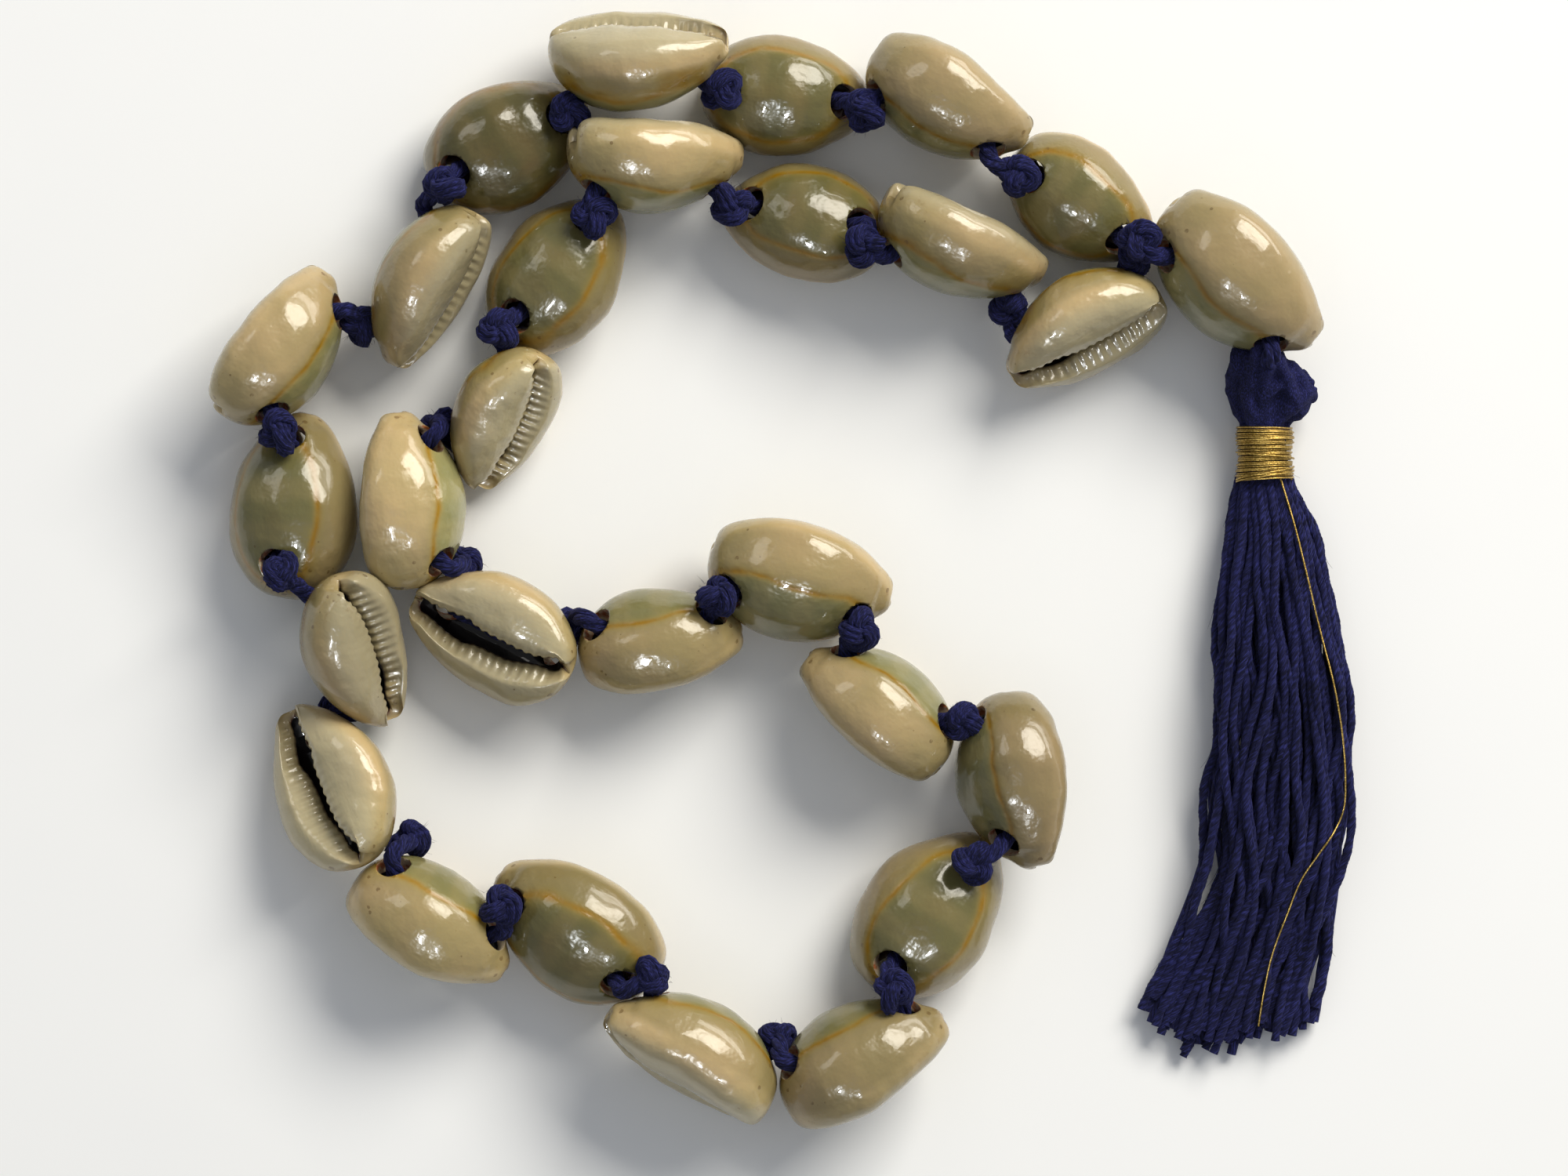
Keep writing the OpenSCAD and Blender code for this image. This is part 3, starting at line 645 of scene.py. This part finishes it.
def cotton_material(name, fibre_scale, fibre_twist=None, sheen=0.3, plies=None):
    """Cotton with its fibres along the yarn where it has a twist, or else down the table.

    The fibre scale is how often they change along and across, and plies how often two plies wind
    round each other along the yarn.
    """
    material, tree, shader = new_material(name)
    where = node(tree, "ShaderNodeTexCoord").outputs
    if fibre_twist is None:
        fibre_way = where["Object"]
    else:
        along, around, _ = node(tree, "ShaderNodeSeparateXYZ", {0: where["UV"]}).outputs
        turned = calc(tree, "ADD", around, calc(tree, "MULTIPLY", along, fibre_twist))
        fibre_way = node(tree, "ShaderNodeCombineXYZ", {0: along, 1: turned}).outputs[0]
    way = node(tree, "ShaderNodeMapping", {"Vector": fibre_way, "Scale": fibre_scale})
    yarn = node(tree, "ShaderNodeGroup", node_tree=cotton)
    tree.links.new(way.outputs[0], yarn.inputs["Fibre way"])
    tree.links.new(where["Object"], yarn.inputs["Place"])
    if plies is not None:
        # The wound plies raise the height, which gives relief and also lightens their crowns as painted
        # highlight.
        uneven = calc(tree, "MULTIPLY", noise(tree, where["Object"], 220.0, 1.0), 1.5)
        wound = calc(tree, "ADD", calc(tree, "MULTIPLY", along, plies),
                     calc(tree, "MULTIPLY", around, 2.0))
        wave = calc(tree, "SINE", calc(tree, "MULTIPLY", calc(tree, "ADD", wound, uneven), 2 * math.pi))
        tree.links.new(calc(tree, "MULTIPLY", wave, 0.035), yarn.inputs["Ply"])
    fuzz = node(tree, "ShaderNodeBump", {"Height": yarn.outputs["Height"], "Strength": 0.8,
                                         "Distance": 0.2 * MM})
    tree.links.new(yarn.outputs["Color"], shader.inputs["Base Color"])
    tree.links.new(fuzz.outputs[0], shader.inputs["Normal"])
    shader.inputs["Roughness"].default_value = 0.9
    shader.inputs["Specular IOR Level"].default_value = 0.15
    shader.inputs["Sheen Weight"].default_value = sheen
    shader.inputs["Sheen Roughness"].default_value = 0.5
    shader.inputs["Sheen Tint"].default_value = linear(90, 94, 150)
    return material


def smooth_path(points, gap):
    """A rounded way through the points, in steps of about the gap."""
    points = np.array([tuple(p) for p in points])
    ahead = np.linalg.norm(np.diff(points, axis=0), axis=1)
    along = np.concatenate([[0], np.cumsum(ahead)])
    at = np.linspace(0, along[-1], max(4, int(along[-1] / gap) + 1))
    return np.stack([through(along, points[:, k], at) for k in range(3)], axis=1)


def bundle(path, count, spread, pitch, phase, rng, stray=0.0):
    """Yarns laid round a path, each as its own row of points."""
    path = np.asarray(path)
    ahead = np.gradient(path, axis=0)
    ahead /= np.linalg.norm(ahead, axis=1)[:, None]
    side = np.cross(ahead, (0.13, 0.21, 0.97))
    side /= np.linalg.norm(side, axis=1)[:, None] + 1e-9
    up = np.cross(side, ahead)
    along = np.concatenate([[0], np.cumsum(np.linalg.norm(np.diff(path, axis=0), axis=1))])
    rows = []
    for k in range(count):
        turn = phase + 2 * math.pi * (k / count + along / pitch)
        out = spread * (1 + stray * np.sin(along / 2.3 + rng.uniform(0, 6.3)))
        rows.append(path + (out * np.cos(turn))[:, None] * side + (out * np.sin(turn))[:, None] * up)
    return rows


def swept(name, rows, material, radius=None, sides=None, profile=None, thin_ends=False, tilts=None):
    """Yarns along rows of points in millimetres, round or with an outline of their own, as one mesh."""
    curve = bpy.data.curves.new(name, "CURVE")
    curve.dimensions = "3D"
    curve.use_fill_caps = True
    curve.twist_mode = "MINIMUM"
    if profile is None:
        curve.bevel_depth = radius * MM
        curve.bevel_resolution = (sides - 4) // 2
    else:
        curve.bevel_mode = "OBJECT"
        curve.bevel_object = profile
    for number, row in enumerate(rows):
        spline = curve.splines.new("POLY")
        spline.points.add(len(row) - 1)
        spline.points.foreach_set("co", np.hstack([np.asarray(row) * MM, np.ones((len(row), 1))]).ravel())
        if thin_ends:
            spline.points.foreach_set("radius", np.linspace(1.0, 0.25, len(row)))
        if tilts is not None:
            spline.points.foreach_set("tilt", tilts[number])
        spline.use_smooth = True
    rough = bpy.data.objects.new("rough_" + name, curve)
    scene.collection.objects.link(rough)
    mesh = bpy.data.meshes.new_from_object(rough.evaluated_get(bpy.context.evaluated_depsgraph_get()))
    bpy.data.objects.remove(rough)
    bpy.data.curves.remove(curve)
    bm = bmesh.new()
    bm.from_mesh(mesh)
    bmesh.ops.recalc_face_normals(bm, faces=bm.faces)
    bpy.data.meshes.remove(mesh)
    return link_mesh(name, bm, material)


def end_in(k):
    """The end of a shell where the cord comes in: -1 is the blunt one. Both ends of the loop use
    the big shell's blunt end."""
    if k == 0:
        return -1
    heading = math.radians(SHELLS[k][0])
    on = seats[(k + 1) % len(seats)].translation - seats[k - 1].translation
    return -1 if on.dot(Vector((math.cos(heading), math.sin(heading), 0))) > 0 else 1


def end_out(k):
    """The end of a shell where the cord goes out to the next."""
    return -1 if k == 0 else -end_in(k)


def on_way_out(k, end, distance):
    """A point in the drilled hole of a shell, by its distance out from the mouth, in millimetres."""
    return seats[k] @ (mouth(end) + distance * way_out(end)) / MM


def tied(middle, way, size, rng):
    """The yarns of an overhand knot pulled tight, as three lobes wound through each other."""
    t = np.linspace(0, 2 * math.pi, 41)
    lobes = np.stack([np.sin(t) + 2 * np.sin(2 * t), np.cos(t) - 2 * np.cos(2 * t),
                      -1.7 * np.sin(3 * t)], axis=1)
    lean = Vector((way.x, way.y, way.z)).normalized().lerp(Vector((0, 0, 1)), rng.uniform(0.35, 0.6))
    turn = lean.to_track_quat("Z", "Y").to_matrix() @ Matrix.Rotation(rng.uniform(0, 2.1), 3, "Z")
    path = lobes @ np.array(turn).T * (0.62 * size) + np.array(middle)
    path = path + 0.25 * np.sin(3.1 * np.linspace(0, 6, len(t))[:, None] + rng.uniform(0, 6.3, 3))
    rows = bundle(path, knot_yarns, yarn_lay * 1.25, lay_pitch * 1.6, rng.uniform(0, 6.3), rng, stray=0.25)
    lift = max(0.0, 1.1 * yarn_radius - min(row[:, 2].min() for row in rows))
    return [row + (0, 0, lift) for row in rows]


def loose_fibres(middle, reach, count, rng):
    """Thin stray fibres that curl out of a knot."""
    rows = []
    for _ in range(count):
        out = rng.normal(size=3)
        out /= np.linalg.norm(out)
        out[2] = abs(out[2])
        start = np.array(middle) + out * reach * rng.uniform(0.7, 0.95)
        bend = rng.normal(size=3) * 0.55
        length = rng.uniform(0.25, 0.7)
        share = np.linspace(0, 1, 4)[:, None]
        rows.append(start + out * length * share + bend * length * share ** 2)
    return rows


def outline_object(name, reaches):
    """A closed outline in the flat, with its points at these distances in metres, for swept."""
    data = bpy.data.curves.new(name, "CURVE")
    data.dimensions = "2D"
    spline = data.splines.new("POLY")
    spline.use_cyclic_u = True
    spline.points.add(len(reaches) - 1)
    for k, reach in enumerate(reaches):
        angle = 2 * math.pi * k / len(reaches)
        spline.points[k].co = (reach * math.cos(angle), reach * math.sin(angle), 0, 1)
    outline = bpy.data.objects.new(name, data)
    scene.collection.objects.link(outline)
    return outline


cord_rng = np.random.default_rng(28)
knot_rows, run_rows, fibre_rows = [], [], []
for k, (*shift, size) in enumerate(KNOTS):
    after = (k + 1) % len(KNOTS)
    near, far = on_way_out(k, end_out(k), knot_stand), on_way_out(after, end_in(after), knot_stand)
    middle = (near + far) / 2 + Vector(shift)
    knot_rows += tied(middle, far - near, size, cord_rng)
    fibre_rows += loose_fibres(middle, knot_reach * size, knot_fibres, cord_rng)
    run = [on_way_out(k, end_out(k), distance) for distance in (-cord_sink, -0.6, 0.9)]
    run.append(middle)
    run += [on_way_out(after, end_in(after), distance) for distance in (0.9, -0.6, -cord_sink)]
    if after:
        run.append(on_way_out(after, end_out(after), -cord_sink - 0.6))
    phase = cord_rng.uniform(0, 6.3)
    run_rows += bundle(smooth_path(run, 0.6), cord_yarns, yarn_lay, lay_pitch, phase, cord_rng, stray=0.12)
tassel_run = [on_way_out(0, -1, -cord_sink)]
tassel_run += [on_way_out(0, 1, distance) for distance in (-cord_sink, -0.5, 1.2)]
tassel_run += [Vector((61.2, 26.0, 9.0)), Vector((61.0, 22.5, 6.5))]
run_rows += bundle(smooth_path(tassel_run, 0.6), cord_yarns, yarn_lay * 1.1, lay_pitch, 0.4, cord_rng,
                   stray=0.15)

# Where it hangs down to the table, the cord lies on it.
for row in run_rows:
    row[:, 2] = np.maximum(row[:, 2], yarn_radius)

yarn_cotton = cotton_material("cord_cotton", (44, 15, 1), fibre_twist=3, sheen=0.35)
cord = swept("cord", run_rows, yarn_cotton, radius=yarn_radius, sides=8)
knots = swept("knots", knot_rows, yarn_cotton, radius=knot_yarn_radius, sides=6)
hair = outline_object("hair", [fibre_radius * MM] * 3)
knot_fuzz = swept("knot_fuzz", fibre_rows, yarn_cotton, profile=hair, thin_ends=True)
bpy.data.objects.remove(hair)
for piece in (cord, knots, knot_fuzz):
    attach(piece, "root")
    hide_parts("knotted_cord")


# Tassel head
# The yarns of the tassel are folded over the end of the cord and felted together by handling, so
# that the head is a lump of soft folds with a flap to the right.
neck_middle, neck_height, neck_radius = 61.2, 4.1, 3.25
melted_to = 0.2

# Each fold: across and up, which way from the middle of the neck it starts, then its highest point
# and where it comes down again, as x, y, z, and its thickness, all in millimetres.
FOLDS = [
    ((58.9, 4.2), (57.5, 22.6, 4.8), (58.3, 27.6, 7.4), 1.45),
    ((59.8, 6.2), (59.0, 22.6, 7.3), (60.2, 28.2, 9.0), 1.25),
    ((61.2, 6.9), (61.0, 22.8, 8.0), (61.7, 28.0, 9.2), 1.20),
    ((62.8, 6.4), (64.2, 21.8, 7.3), (62.6, 26.6, 8.8), 1.20),
    ((63.9, 4.6), (66.0, 21.8, 5.6), (64.7, 25.4, 6.8), 1.35),
    ((63.6, 3.0), (66.4, 22.6, 3.4), (65.6, 24.8, 4.0), 1.25),
    ((59.0, 2.4), (57.7, 22.6, 2.3), (59.4, 26.6, 3.2), 1.55),
    ((61.2, 2.0), (61.4, 22.6, 1.7), (61.6, 26.6, 2.8), 1.60),
    ((63.2, 2.4), (64.8, 22.4, 2.0), (63.6, 25.6, 3.2), 1.50),
    ((61.0, 4.4), (61.4, 22.6, 4.6), (61.4, 26.6, 5.6), 2.30),
    ((62.6, 6.4), (65.4, 21.4, 7.2), (67.0, 22.6, 6.2), 0.95),
    ((59.6, 7.0), (62.2, 22.8, 8.6), (64.6, 25.2, 7.8), 0.80),
    ((62.4, 5.6), (63.0, 22.0, 6.4), (62.6, 25.8, 7.2), 1.50),
]
head_cotton = cotton_material("head_cotton", (9000, 3000, 9000), sheen=0.12)
head_mesh = bmesh.new()
for start, top, end, thick in FOLDS:
    off = np.array(start) - (neck_middle, neck_height)
    off *= min(1.0, (neck_radius - thick) / np.linalg.norm(off))
    feet = [(neck_middle + off[0], y, neck_height + off[1]) for y in (16.4, 18.5)]
    tucked = (end[0], end[1] - 0.5, max(1.3, end[2] - 2.4))
    fold = swept("fold", [smooth_path(feet + [top, end, tucked], 0.5)], head_cotton, radius=thick, sides=12)
    head_mesh.from_mesh(fold.data)
    bpy.data.objects.remove(fold)
lump = link_mesh("lump", head_mesh, head_cotton)
melt = lump.modifiers.new("melt", "REMESH")
melt.mode = "VOXEL"
melt.voxel_size = melted_to * MM
soften = lump.modifiers.new("soften", "SMOOTH")
soften.factor = 0.5
soften.iterations = 2
head_data = bpy.data.meshes.new_from_object(lump.evaluated_get(bpy.context.evaluated_depsgraph_get()))

# Handling has crumpled it: sharp creases of five sizes, bent by a slow warp.
crumple_rng = np.random.default_rng(3)
felt = np.zeros(len(head_data.vertices) * 3)
head_data.vertices.foreach_get("co", felt)
felt = felt.reshape(-1, 3) / MM
outwards = np.zeros(len(head_data.vertices) * 3)
head_data.vertices.foreach_get("normal", outwards)
warp = 0.7 * np.sin(felt[:, [1, 2, 0]] * 0.9 + (0.4, 2.0, 4.0))
crease = np.zeros(len(felt))
for period, depth in ((5.5, 0.40), (4.0, 0.30), (2.7, 0.22), (1.8, 0.12), (1.3, 0.08)):
    way_on = crumple_rng.normal(size=3) * (1, 0.35, 1)
    way_on /= np.linalg.norm(way_on)
    wave = np.sin((felt + warp) @ way_on * math.pi / period + crumple_rng.uniform(0, 3))
    crease += depth * (1 - 1.8 * np.abs(wave))
felt += 0.62 * crease[:, None] * outwards.reshape(-1, 3)
head_data.vertices.foreach_set("co", (felt * MM).astype(np.float32).ravel())
head_data.materials.clear()
head_data.materials.append(head_cotton)
head_data.polygons.foreach_set("use_smooth", [True] * len(head_data.polygons))
bpy.data.objects.remove(lump)
tassel_head = bpy.data.objects.new("tassel_head", head_data)
scene.collection.objects.link(tassel_head)
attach(tassel_head, "root")
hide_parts("tassel")


# Tassel skirt
# Ninety-six soft two-ply yarns come out of the bound neck and lie spread on the table, wavy and
# crossing a little, swept to the left at their ragged cut ends.

# Edges of the skirt as it lies: how far down the table, left edge, right edge and height.
SKIRT = np.array([
    (19.0, 58.6, 63.8, 5.6), (14.5, 58.2, 64.3, 6.0), (10.7, 57.0, 65.5, 6.8), (4.7, 55.8, 68.4, 7.8),
    (-1.3, 55.0, 69.6, 8.6), (-7.3, 54.4, 71.0, 9.0), (-12.3, 54.1, 72.2, 9.2), (-17.3, 54.2, 72.8, 9.2),
    (-23.3, 53.6, 73.2, 9.0), (-27.3, 53.0, 73.1, 8.7), (-33.3, 52.8, 72.6, 8.1), (-37.3, 52.6, 72.0, 7.6),
    (-43.3, 51.0, 71.0, 6.6), (-48.3, 49.0, 70.0, 5.6), (-54.3, 46.0, 68.8, 4.4), (-62.0, 42.6, 67.6, 3.4),
])
skirt_yarns, skirt_yarn_radius, ply_pitch = 96, 0.62, 5.6
skirt_top, stray_fibres, stray_radius = 18.5, 30, 0.045

# Where the yarns are cut: share of the half width, and how far down the table.
cut_at = np.array([(-1.0, -54.6), (-0.7, -57.6), (-0.1, -60.9), (0.2, -58.4), (0.75, -58.8),
                   (1.0, -55.4)])


def skirt_at(y):
    """Middle, half width and height of the skirt at places down its length."""
    turned = -np.asarray(y, dtype=float)
    left, right, high = (through(-SKIRT[:, 0], SKIRT[:, k], turned) for k in (1, 2, 3))
    return (left + right) / 2, (right - left) / 2, high


skirt_rng = np.random.default_rng(5)
upper_rows, upper_tilts, lower_rows = [], [], []
golden_turn = math.pi * (3 - math.sqrt(5))
for k in range(skirt_yarns):
    out = math.sqrt((k + 0.5) / skirt_yarns)
    across, high = out * math.cos(k * golden_turn), out * math.sin(k * golden_turn)
    seen = high > -0.25
    end = np.interp(across, cut_at[:, 0], cut_at[:, 1]) + skirt_rng.uniform(-1.6, 1.2)
    y = np.linspace(skirt_top, end, 150 if seen else 50)
    middle, half, tall = skirt_at(y)
    loose = ease(-y, -12, 8)
    waves = [(skirt_rng.uniform(0.25, 0.7), skirt_rng.uniform(14, 34), skirt_rng.uniform(0, 6.3))
             for _ in range(4)]
    drift = 0.16 * np.sin(y / 31 * math.pi + skirt_rng.uniform(0, 6.3)) * loose
    sway = sum(a * np.sin(y / w * 2 * math.pi + p) for a, w, p in waves[:2]) * loose
    lift = 0.6 * sum(a * np.sin(y / w * 2 * math.pi + p) for a, w, p in waves[2:]) * loose
    x = middle + np.clip(across + drift, -1, 1) * (half - skirt_yarn_radius)
    x = x + sway * (1 - 0.6 * abs(across))
    z = tall / 2 + high * (tall / 2 - skirt_yarn_radius) + lift * 0.8
    z = np.maximum(z, skirt_yarn_radius)
    row = np.stack([x, y, z], axis=1)
    if seen:
        upper_rows.append(row)
        along = np.concatenate([[0], np.cumsum(np.linalg.norm(np.diff(row, axis=0), axis=1))])
        upper_tilts.append(2 * math.pi * along / (ply_pitch * skirt_rng.uniform(0.85, 1.2))
                           + skirt_rng.uniform(0, 6.3))
    else:
        lower_rows.append(row)

# Stray fibres lie loose along the yarns.
stray_rows = []
for row in upper_rows:
    for _ in range(stray_fibres):
        k = skirt_rng.integers(6, len(row) - 12)
        reach = skirt_rng.integers(3, 8)
        share = np.linspace(0, 1, 4)[:, None]
        side = skirt_rng.normal(size=3) * (1, 0.3, 0.5) + (0, 0, 0.5)
        side /= np.linalg.norm(side)
        start = row[k] + side * skirt_yarn_radius * 0.85
        bend = skirt_rng.normal(size=3) * 0.3 + side * 0.35
        stray_rows.append(start + (row[k + reach] - row[k]) * share + bend * share ** 2)

two_plies = outline_object("two_plies", [
    skirt_yarn_radius * MM * (0.92 + 0.09 * math.cos(4 * math.pi * k / 10)) for k in range(10)])
strand = outline_object("strand", [stray_radius * MM] * 3)
skirt_cotton = cotton_material("skirt_cotton", (64, 17, 1), fibre_twist=4, plies=48)
half_way = len(upper_rows) // 2
first, second = slice(None, half_way), slice(half_way, None)
pieces = [swept(name, upper_rows[part], skirt_cotton, profile=two_plies, tilts=upper_tilts[part])
          for name, part in (("skirt_upper_a", first), ("skirt_upper_b", second))]
pieces.append(swept("skirt_lower", lower_rows, skirt_cotton, radius=skirt_yarn_radius, sides=8))
pieces.append(swept("skirt_fuzz", stray_rows, skirt_cotton, profile=strand, thin_ends=True))
bpy.data.objects.remove(two_plies)
bpy.data.objects.remove(strand)
for piece in pieces:
    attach(piece, "root")
    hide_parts("tassel")


# Gold thread
# Metallic thread wound tightly round the tassel's neck, the last turns aslant, with one long end
# left loose along the skirt.
thread_radius, band_top, band_foot, band_turns, turn_steps = 0.14, 18.2, 11.5, 26, 40
band_width, band_height, tail_radius = 3.45, 3.35, 0.13
gold, gold_tree, gold_shader = new_material("gold_thread")
gold_place = node(gold_tree, "ShaderNodeTexCoord").outputs["Object"]
# Fine noise lightens and darkens the thread's colour in small spots as painted glints, and also gives the
# thread its relief.
gold_glint = noise(gold_tree, gold_place, 5200.0, 2.0)
gold_colour = blend(gold_tree, step(gold_tree, gold_glint, 0.35, 0.65),
                    linear(124, 101, 48), linear(190, 160, 92))
gold_tree.links.new(gold_colour, gold_shader.inputs["Base Color"])
gold_relief = node(gold_tree, "ShaderNodeBump", {"Height": gold_glint, "Strength": 0.7,
                                                 "Distance": 0.08 * MM})
gold_tree.links.new(gold_relief.outputs[0], gold_shader.inputs["Normal"])
gold_shader.inputs["Metallic"].default_value = 0.95
gold_shader.inputs["Roughness"].default_value = 0.34

turn = np.linspace(0, 2 * math.pi * band_turns, band_turns * turn_steps)
down = turn / turn[-1]
slant = (0.28 * down - 0.14) * np.cos(turn)
band_y = band_top + (band_foot - band_top) * down + slant + 0.05 * np.sin(turn * 0.37 + 2)
swell = 1 + 0.04 * np.sin(down * 9) + 0.03 * np.sin(turn * 0.61)
windings = [np.stack([neck_middle + band_width * swell * np.cos(turn), band_y,
                      neck_height + band_height * swell * np.sin(turn)], axis=1)]

# A few turns cross aslant over the others, from the right to the left.
half_turn = np.linspace(0.15, math.pi - 0.15, 24)
for right, left in ((13.3, 11.45), (12.8, 11.2), (14.2, 15.1), (16.9, 16.5)):
    windings.append(np.stack([neck_middle + (band_width + 0.25) * np.cos(half_turn),
                              right + (left - right) * half_turn / math.pi,
                              neck_height + (band_height + 0.27) * np.sin(half_turn)], axis=1))
gold_band = swept("gold_band", windings, gold, radius=thread_radius, sides=6)

# The loose end, in x and y, laid on the highest yarns that it crosses.
tail = np.array([(63.0, 11.9), (64.8, 5.7), (66.5, -1.3), (68.2, -8.3), (69.9, -15.3), (71.0, -22.3),
                 (71.3, -26.3), (70.9, -31.3), (69.9, -33.3), (67.8, -36.3), (65.8, -39.3), (63.8, -44.3),
                 (62.0, -49.3), (61.0, -54.3), (60.4, -58.3)])
tail = smooth_path(np.column_stack([tail, np.zeros(len(tail))]), 1.0)
under = np.vstack(upper_rows)
for point in tail:
    near = np.linalg.norm(under[:, :2] - point[:2], axis=1) < 1.1
    point[2] = under[near, 2].max() if near.any() else 3.35
weights = np.array([1, 2, 3, 2, 1]) / 9
tail[:, 2] = np.convolve(np.pad(tail[:, 2], 2, mode="edge"), weights, mode="valid")
tail[:, 2] += skirt_yarn_radius + 0.12
gold_tail = swept("gold_tail", [smooth_path(tail, 0.5)], gold, radius=tail_radius, sides=8)
for piece in (gold_band, gold_tail):
    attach(piece, "root")
    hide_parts("gold_binding")
